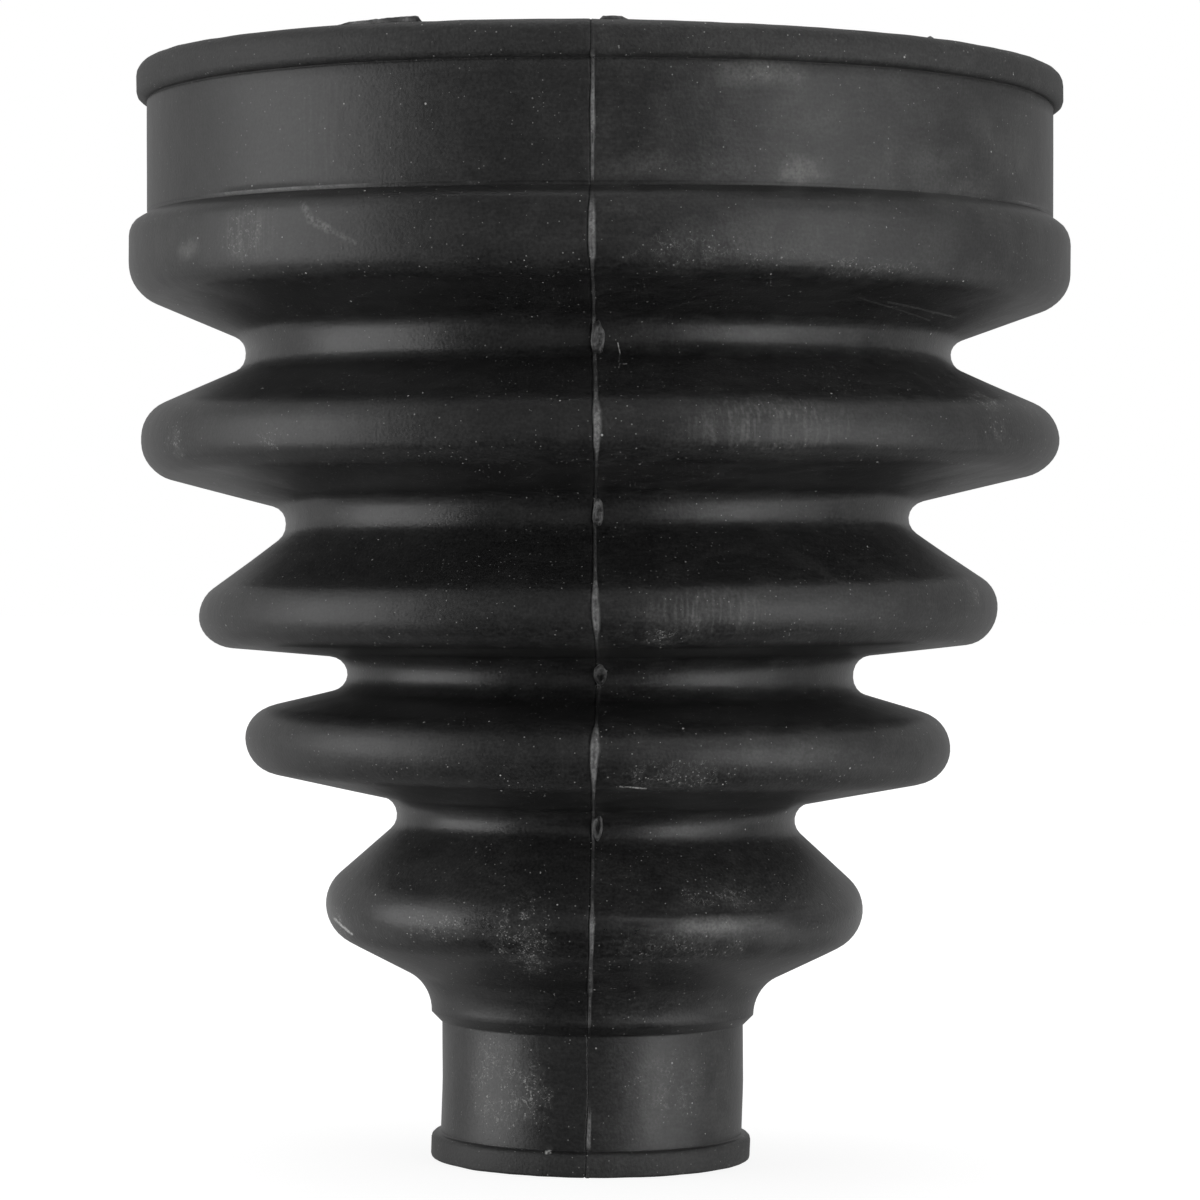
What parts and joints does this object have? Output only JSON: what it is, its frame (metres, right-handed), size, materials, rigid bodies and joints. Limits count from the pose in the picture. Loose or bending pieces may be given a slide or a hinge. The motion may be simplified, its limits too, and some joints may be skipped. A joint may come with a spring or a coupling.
{
  "type": "bellows boot",
  "caption": "Tapered rubber bellows boot with a wide and a narrow clamp seat; it flexes with a shaft joint, keeping grease in and dirt out.",
  "frame": {"origin": "on the axis, in the plane of the small end's face, on which the boot stands", "axes": "+Z along the axis from the small end to the large end; the mould's parting line lies at front and back, at -Y and +Y"},
  "size_m": [0.0976, 0.0984, 0.1133],
  "materials": {
    "rubber": "satin black moulded rubber with dust, scuffs and mould flash"
  },
  "bodies": {
    "root": {"bellows_boot": "rubber"}
  },
  "joints": []
}
